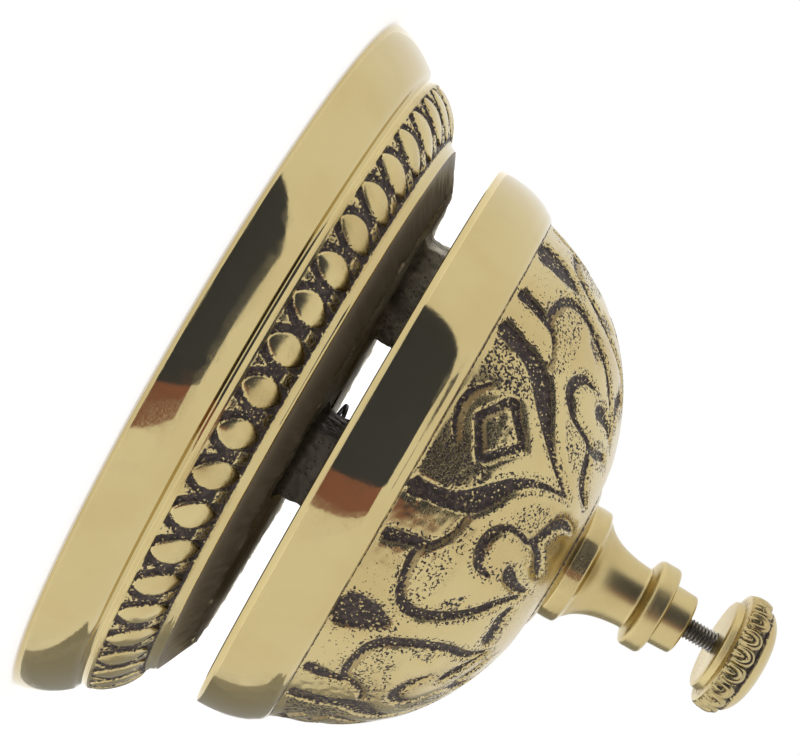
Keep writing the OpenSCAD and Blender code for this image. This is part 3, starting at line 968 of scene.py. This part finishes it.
@dataclass
class Bell(Piece):
    """The hanging bell: plain polished band, scrollwork dome and plain crown ring."""

    columns: int = 600
    repeats: int = 4
    motif_at: float = -27.8
    relief_depth: float = 0.55
    dome_low: float = 30.35
    lining_radius: float = 37.6

    def dome(self) -> list[Point]:
        """Gives the outer line of the dome."""
        return bezier((37.2, 30.5), (34.5, 40.0), (28.0, 51.5), (8.65, 54.0), steps=108)

    def outline(self) -> list[Point]:
        """Gives the bell's closed outline."""
        band = bezier((40.36, 21.4), (40.32, 25.6), (39.0, 28.4), steps=12)
        step = bezier((38.4, 29.4), (38.0, 30.1), (37.3, 30.3), steps=4)
        lining = bezier((34.5, 30.6), (31.6, 38.4), (25.5, 48.9), (9.0, 51.5), steps=18)
        inner_band = bezier((37.5, 24.0), (37.2, 27.4), (34.6, 30.4), steps=5)
        mouth = [(37.5, 21.0), (38.6, 20.98), (39.5, 21.0), (40.05, 21.0), (40.28, 21.14)]
        joint = [(38.8, 28.7), (38.65, 28.95), (38.5, 29.2)]
        ring = mouth[3:] + band + joint + step + self.dome()
        return ring + [(3.1, 54.0), (3.1, 51.5)] + lining[::-1] + inner_band[::-1] + mouth[:4]

    def scrollwork(self, co: np.ndarray) -> tuple[np.ndarray, np.ndarray]:
        """Works out the relief of the dome.

        Args:
            co: Places on the dome in millimetres.

        Returns:
            The height of the relief from 0 to 1, and how thickly each place is stippled.
        """
        turn = bearing(co) - self.motif_at
        warp = np.radians(turn)
        z = co[:, 2] + 0.22 * np.sin(3 * warp + 0.7) + 0.15 * np.sin(7 * warp + co[:, 2] * 0.4)
        turn = turn + 0.5 * np.sin(2 * warp + 1.1) + 0.35 * np.sin(5 * warp + co[:, 2] * 0.5)
        a = np.abs(wrapped(turn, 360 / self.repeats))
        scale = np.radians(np.hypot(co[:, 0], co[:, 1]))
        cut = np.maximum.reduce([stroke_field(a, z, flowing(path), scale) for path in CHANNELS])
        cut -= 0.9 * (1 - ramp(co[:, 2], 30.65, 31.1)) + 0.9 * ramp(co[:, 2], 51.6, 52.4)
        height = 1 - ramp(cut, -0.36, 0.34)
        rounded = ramp(-cut, 0.2, 1.6)
        tufts = np.array([noise.fractal(Vector(p) / 0.75, 0.8, 2.0, 2) for p in co])
        stipple = np.full(len(co), 0.14)
        for thick, level, corners in PATCHES:
            patch = ramp(patch_field(a, z, corners, scale), -0.35, 0.35)
            height = height * (1 - patch * (1 - level * (1 + 0.16 * tufts)))
            stipple = np.maximum(stipple, thick * patch)
        stipple = np.maximum(stipple, 0.85 * (1 - ramp(np.abs(cut + 0.45), 0.15, 0.95)))
        ring = ramp(0.45 - np.abs(co[:, 2] - 53.3), -0.1, 0.25)
        return height * (0.93 + 0.07 * rounded) * (1 - 0.8 * ring), stipple

    def build(self) -> Solid:
        """Builds the bell.

        Returns:
            The piece, which stands for bell_dome.
        """
        piece = lathe("bell", self.outline(), self.columns)
        co, out = places(piece), normals(piece)
        radius = np.hypot(co[:, 0], co[:, 1])
        line = np.array(self.dome())
        skin = np.interp(co[:, 2], line[:, 1], line[:, 0])
        on_dome = (co[:, 2] > self.dome_low) & (np.abs(radius - skin) < 0.6) & (out[:, 2] > 0)
        relief, stipple = np.ones(len(co)), np.zeros(len(co))
        relief[on_dome], stipple[on_dome] = self.scrollwork(co[on_dome])
        fade = ramp(co[:, 2], self.dome_low, 30.7) * ramp(radius, 8.3, 8.9)
        place(piece, co - out * (self.relief_depth * (1 - relief) * fade)[:, None])
        ring = ramp(0.2 - np.abs(co[:, 2] - 30.3), -0.05, 0.15) * (radius > 36.9)
        relief = np.where(on_dome, relief, 1 - 0.7 * ring)
        mark(piece, "relief", relief)
        mark(piece, "stipple", np.where(on_dome, stipple, 0.0))
        self.shop.dress(piece, SCROLLED, BELL_LINING, MIRRORED)
        centre, facing = face_centres(piece)
        inward = facing[:, 0] * centre[:, 0] + facing[:, 1] * centre[:, 1] < 0
        under = (facing[:, 2] < 0) & (centre[:, 2] > 22)
        lining = (inward | under) & (np.hypot(centre[:, 0], centre[:, 1]) < self.lining_radius)
        zone(piece, np.where(lining, 1, np.where(centre[:, 2] < 30.2, 2, 0)))
        return self.finish(piece, ["bell_dome"], "bell_brass")


# ---------------------------------------------------------------------------------------------
# Finial and knob
# ---------------------------------------------------------------------------------------------
@dataclass
class Finial(Piece):
    """The turned nut above the bell, with a hollow neck, a collar and a spout for the rod."""

    columns: int = 192
    wax_lines: tuple[float, ...] = (54.0, 56.75, 64.85, 68.5)

    def outline(self) -> list[Point]:
        """Gives the finial's closed outline."""
        flange = [(8.15, 54.0), (8.24, 54.2), (8.28, 55.3), (8.24, 56.3), (8.15, 56.55)]
        shoulder = [(8.0, 56.68), (7.6, 56.85), (7.2, 57.1)]
        neck = bezier((7.05, 57.3), (4.7, 59.2), (4.4, 64.7), steps=24)
        collar = [(4.5, 64.85), (5.7, 65.3), (5.95, 65.42), (6.15, 65.65), (6.25, 65.95), (6.25, 67.85),
                  (6.17, 68.1), (6.0, 68.3), (5.7, 68.4), (4.45, 68.5)]
        spout = [(4.3, 68.65), (4.27, 70.0), (4.2, 71.6), (4.1, 71.85), (3.88, 72.0)]
        bore = [(1.56, 72.0), (1.56, 66.0), (3.01, 66.0), (3.01, 54.0), (8.15, 54.0)]
        return dense(flange + shoulder + neck[1:] + collar + spout, 0.5) + bore

    def build(self) -> Solid:
        """Builds the finial.

        Returns:
            The piece, which stands for the CAD finial.
        """
        piece = lathe("finial_nut", self.outline(), self.columns)
        co = places(piece)
        wax = np.zeros(len(co))
        for line in self.wax_lines:
            wax = np.maximum(wax, ramp(0.22 - np.abs(co[:, 2] - line), -0.05, 0.25))
        outer = np.hypot(co[:, 0], co[:, 1]) > 3.7
        mark(piece, "relief", np.where(outer, 1 - 0.62 * wax, 0.6))
        mark(piece, "stipple", np.zeros(len(co)))
        self.shop.dress(piece, TURNED, BRUSHED)
        zone(piece, np.where(face_centres(piece)[0][:, 2] > 57.0, 1, 0))
        return self.finish(piece, ["finial"], "finial_brass", 40)


@dataclass
class Knob(Piece):
    """The press knob: plain disc, beaded band of small arches and a low polished cap."""

    body: Body = Body.PLUNGER
    columns: int = 418
    arches: int = 19
    arch_at: float = -15.8
    relief_depth: float = 0.5
    band_radius: float = 8.1
    band_low: float = 78.0
    band_high: float = 81.5
    arch: tuple[tuple[float, float, float], ...] = (
        (-0.9, 0.1, 0.7), (-0.92, 1.4, 0.85), (-0.6, 2.25, 1.0), (0, 2.55, 1.1), (0.6, 2.25, 1.0),
        (0.92, 1.4, 0.85), (0.9, 0.1, 0.7))
    tongue: tuple[tuple[float, float, float], ...] = ((0, 0.0, 0.95), (0, 0.7, 0.9), (0, 1.3, 0.6))

    def outline(self) -> list[Point]:
        """Gives the knob's closed outline."""
        under = [(1.51, 76.6), (3.0, 76.6), (4.6, 76.6), (5.6, 76.6), (6.1, 76.65), (6.35, 76.8)]
        disc = [(6.45, 77.1), (6.5, 77.5), (6.55, 77.68), (6.9, 77.76), (7.5, 77.84), (7.9, 77.95)]
        band = bezier((8.05, 78.05), (8.7, 79.6), (8.05, 81.25), steps=22)
        edge = [(7.9, 81.4), (7.7, 81.42), (7.45, 81.45), (7.3, 81.6)]
        cap = bezier((7.2, 81.75), (5.8, 83.6), (1.5, 83.6), steps=14)
        return under + disc + band + edge + cap + [(0.0, 83.6), (0.0, 80.8), (1.51, 80.8), (1.51, 76.6)]

    def build(self) -> Solid:
        """Builds the knob.

        Returns:
            The piece, which stands for the CAD knob.
        """
        piece = lathe("press_knob", self.outline(), self.columns)
        co, out = places(piece), normals(piece)
        radius = np.hypot(co[:, 0], co[:, 1])
        band = (co[:, 2] > self.band_low) & (co[:, 2] < self.band_high) & (radius > 7.4)
        turn = bearing(co) - self.arch_at
        repeat = 360 / self.arches
        index = np.round(turn / repeat)
        u = wrapped(turn + 1.1 * np.sin(index * 2.3), repeat) * np.radians(self.band_radius)
        height = co[:, 2] - 78.15 + 0.08 * np.sin(index * 4.1)
        raised = np.maximum(stroke_field(u, height, flowing(self.arch)),
                            stroke_field(u, height, np.array(self.tongue)))
        foot = 0.2 - np.abs(height - 0.02)
        relief = np.where(band, ramp(np.maximum(raised, foot), -0.3, 0.42), 1.0)
        place(piece, co - out * (self.relief_depth * (1 - relief))[:, None])
        groove = ramp(0.26 - np.abs(co[:, 2] - 81.42), -0.1, 0.2) * (radius > 7.0)
        step = ramp(0.3 - np.abs(co[:, 2] - 77.72), -0.05, 0.25) * (radius > 6.4) * 0.7
        mark(piece, "relief", np.where(band, relief, 1) - 0.75 * np.maximum(groove * ~band, step))
        mark(piece, "stipple", np.where(band, 0.35, 0.08))
        self.shop.dress(piece, BEADED, BRUSHED)
        middle = face_centres(piece)[0]
        inner = np.hypot(middle[:, 0], middle[:, 1]) < 7.2
        plain = inner | (middle[:, 2] < self.band_low) | (middle[:, 2] > 81.3)
        zone(piece, plain.astype(int))
        return self.finish(piece, ["knob"], "knob_brass", 40)


# ---------------------------------------------------------------------------------------------
# Rod and spring
# ---------------------------------------------------------------------------------------------
@dataclass
class ThreadedRod(Piece):
    """The rod that carries the knob, threaded at its upper end."""

    body: Body = Body.PLUNGER
    radius: float = 1.5
    pitch: float = 0.5
    depth: float = 0.3
    low: float = 6.5
    thread_low: float = 60.0
    high: float = 80.8

    def build(self) -> Solid:
        """Builds the rod.

        Returns:
            The piece, which stands for plunger_rod.
        """
        rows = int(round((self.high - self.thread_low) / 0.1))
        shank = [(self.radius - 0.2, self.low), (self.radius, self.low + 0.2),
                 (self.radius, self.thread_low - 0.1)]
        thread = straight((self.radius, self.thread_low), (self.radius, self.high), rows)
        piece = lathe("threaded_rod", [(0.0, self.low)] + shank + thread + [(0.0, self.high)], 32)
        co = places(piece)
        span = np.hypot(co[:, 0], co[:, 1])
        threaded = (co[:, 2] >= self.thread_low) & (span > 0.5)
        phase = (co[:, 2] / self.pitch - np.arctan2(co[:, 1], co[:, 0]) / math.tau) % 1
        flank = np.abs(phase - 0.5) * 2
        cut = self.depth * np.clip(flank * 1.25 - 0.12, 0, 1)
        cut *= ramp(co[:, 2], self.thread_low, self.thread_low + 1.0)
        shrink = np.where(threaded, (span - cut) / np.maximum(span, 1e-6), 1.0)
        co[:, :2] *= shrink[:, None]
        place(piece, co)
        mark(piece, "relief", np.where(threaded, 1 - 0.8 * flank, 1.0))
        mark(piece, "stipple", np.full(len(co), 0.1))
        self.shop.dress(piece, ROD_THREAD)
        return self.finish(piece, ["plunger_rod"], "rod_steel", 50)


@dataclass
class ReturnSpring(Piece):
    """The spring that lifts the rod."""

    low: float = 11.6
    high: float = 23.65
    middle: float = 3.0
    wire: float = 0.3
    turns: int = 6
    steps: int = 40
    sides: int = 10
    travel: float = 3.5
    rise: float = 1.5

    def lift(self, t: np.ndarray) -> np.ndarray:
        """Gives the height of the middle of the wire, with a closed turn at each end."""
        low, high, end = self.low + self.wire, self.high - self.wire, 2.2 * self.wire
        knots = [0, 1 / self.turns, 1 - 1 / self.turns, 1]
        return np.interp(t, knots, [low, low + end, high - end, high])

    def build(self) -> Solid:
        """Builds the spring.

        Returns:
            The piece, which stands for return_spring.
        """
        clear_selection()
        bpy.ops.mesh.primitive_circle_add(vertices=self.sides, radius=self.wire * MM, fill_type="NOTHING",
                                          location=(self.middle * MM, 0, self.low * MM),
                                          rotation=(math.pi / 2, 0, 0))
        piece = bpy.context.object
        piece.name = piece.data.name = "spring_coil"
        settle(piece)
        modify(piece, "SCREW", angle=math.tau, screw_offset=self.rise * MM, iterations=self.turns,
               steps=self.steps, render_steps=self.steps, axis="Z", use_smooth_shade=True)
        co = places(piece)
        count = self.turns * self.steps
        t = (np.arange(len(co)) // self.sides) / count
        co[:, 2] += self.lift(t) - (self.low + self.rise * self.turns * t)
        place(piece, co)
        take(piece)
        bpy.ops.object.mode_set(mode="EDIT")
        bpy.ops.mesh.select_all(action="DESELECT")
        bpy.ops.mesh.select_mode(type="EDGE")
        bpy.ops.mesh.select_non_manifold()
        bpy.ops.mesh.edge_face_add()
        bpy.ops.mesh.select_all(action="SELECT")
        bpy.ops.mesh.normals_make_consistent(inside=False)
        bpy.ops.object.mode_set(mode="OBJECT")
        self.shop.dress(piece, SPRING_STEEL)
        self.finish(piece, ["return_spring"], "spring_wire", 60)
        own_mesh(piece)
        return piece


# ---------------------------------------------------------------------------------------------
# Mechanism
# ---------------------------------------------------------------------------------------------
@dataclass
class Mechanism:
    """The parts of the frame that stay as they are and only take a finish."""

    shop: FinishShop
    finishes: dict[str, Metal | Fibre] = field(default_factory=lambda: {
        "bridge_bar": SHEET_BRASS, "bell_post": FITTING, "post_lock_nut": FITTING, "seat_nut": FITTING,
        "striker_nut": FITTING, "upper_collar": FITTING, "lower_collar": FITTING,
        "striker_lever": SHEET_BRASS, "striker_head": FITTING, "guide_bush": BRONZE, "lever_bush": BRONZE,
        "pivot_pin": BRIGHT_STEEL,
        "pivot_clips": BRIGHT_STEEL, "bridge_screws": SCREW_STEEL, "collar_screws": SCREW_STEEL,
        "spring_seat": BRIGHT_STEEL, "spring_cap": BRIGHT_STEEL, "seat_washer": WASHER_FIBRE})

    def build(self) -> None:
        """Gives every shown frame node its finish."""
        for node, finish in self.finishes.items():
            self.shop.dress(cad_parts[node], finish)
            log.info("%s: %s", node, finish.name)


# ---------------------------------------------------------------------------------------------
# Studio
# ---------------------------------------------------------------------------------------------
@dataclass(frozen=True)
class Card:
    """A plain card that stands round the bell and shows in its polish.

    Angles are in degrees round the axis from the camera, positive to the camera's right. Heights
    and distances are in metres.
    """

    name: str
    start: float
    end: float
    low: float
    high: float
    distance: float
    colour: Colour


@dataclass
class Studio:
    """The floor, the light, the cards and the camera."""

    camera_side: float = 12.8
    distance: float = 0.2916
    height: float = 0.0269
    yaw: float = -1.93
    pitch: float = -0.75
    roll: float = -119.9
    lens: float = 98.7
    shift: Point = (0.0, 0.0)
    cards: tuple[Card, ...] = (
        Card("dark_card", -52, 13, -0.02, 0.54, 0.36, (0.066, 0.075, 0.118)),
        Card("red_strip", 13, 27, -0.02, 0.42, 0.36, (0.33, 0.16, 0.15)),
        Card("grey_card", 116, 160, -0.02, 0.26, 0.40, (0.34, 0.34, 0.32)),
    )

    def towards(self, angle: float) -> Vector:
        """Gives the level direction at an angle from the camera."""
        turn = math.radians(angle - self.camera_side)
        return Vector((math.sin(turn), -math.cos(turn), 0.0))

    def plain(self, name: str, colour: Colour, roughness: float, glow: float = 0.0) -> bpy.types.Material:
        """Makes a plain matt finish for the studio, lit from within where it glows."""
        material, g = new_finish(name)
        shader = g.node("ShaderNodeBsdfPrincipled", {
            "Base Color": colour, "Roughness": roughness, "Specular IOR Level": 0.1,
            "Emission Color": (1.0, 1.0, 1.0), "Emission Strength": glow})
        g.node("ShaderNodeOutputMaterial", {0: shader.outputs[0]})
        return material

    def floor(self) -> None:
        """Lays the pale floor."""
        clear_selection()
        bpy.ops.mesh.primitive_plane_add(size=6.0, location=(0, 0, -0.0002))
        plane = bpy.context.object
        plane.name = "floor"
        plane.data.materials.append(self.plain("pale_floor", (0.86, 0.86, 0.86), 0.9, 0.42))

    def stand(self, card: Card) -> None:
        """Stands one card round the bell, hidden from the camera itself."""
        clear_selection()
        segments = 8
        bpy.ops.mesh.primitive_grid_add(x_subdivisions=segments, y_subdivisions=1, size=1)
        piece = bpy.context.object
        piece.name = card.name
        co = places(piece) * MM
        turn = np.radians(card.start + (co[:, 0] + 0.5) * (card.end - card.start) - self.camera_side)
        height = card.low + (co[:, 1] + 0.5) * (card.high - card.low)
        place(piece, np.column_stack([np.sin(turn), -np.cos(turn), height / card.distance])
              * card.distance / MM)
        piece.data.materials.append(self.plain(card.name + "_paint", card.colour, 0.95))
        piece.visible_camera = False
        piece.visible_shadow = False

    def light(self) -> None:
        """Sets the even white light round the bell."""
        world = bpy.data.worlds.new("soft_white_room")
        bpy.context.scene.world = world
        world.use_nodes = True
        g = Graph(world.node_tree)
        back = g.node("ShaderNodeBackground", {"Color": (1.0, 1.0, 1.0), "Strength": 1.0})
        g.node("ShaderNodeOutputWorld", {0: back.outputs[0]})
        bpy.context.scene.view_settings.view_transform = "Standard"

    def camera(self) -> None:
        """Sets the camera at its viewing angle."""
        right, up, away = self.towards(90), Vector((0, 0, 1)), -self.towards(0)
        turn, tip = math.radians(self.yaw), math.radians(self.pitch)
        side = right * math.cos(turn) - away * math.sin(turn)
        ahead = right * math.sin(turn) + away * math.cos(turn)
        forward = ahead * math.cos(tip) + up * math.sin(tip)
        upward = up * math.cos(tip) - ahead * math.sin(tip)
        roll = math.radians(self.roll)
        image_right = side * math.cos(roll) - upward * math.sin(roll)
        image_up = side * math.sin(roll) + upward * math.cos(roll)
        clear_selection()
        bpy.ops.object.camera_add()
        camera = bpy.context.object
        camera.name = "camera"
        axes = Matrix((image_right, image_up, -forward)).transposed().to_4x4()
        camera.matrix_world = Matrix.Translation(self.towards(0) * self.distance + up * self.height) @ axes
        camera.data.lens = self.lens
        camera.data.sensor_fit = "HORIZONTAL"
        camera.data.sensor_width = 36.0
        camera.data.shift_x, camera.data.shift_y = self.shift
        camera.data.clip_start = 0.01
        bpy.context.scene.camera = camera

    def build(self) -> None:
        """Sets up the whole studio."""
        self.floor()
        for card in self.cards:
            self.stand(card)
        self.light()
        self.camera()


def main() -> None:
    """Builds the bell from the table up, then the studio round it."""
    logging.basicConfig(level=logging.INFO, format="%(name)s: %(message)s")
    shop = FinishShop()
    for builder in (Base(shop), CastLegs(shop), Bell(shop), Finial(shop), Knob(shop), ThreadedRod(shop),
                    ReturnSpring(shop)):
        builder.build()
    Mechanism(shop).build()
    Studio().build()


if __name__ == "__main__":
    main()
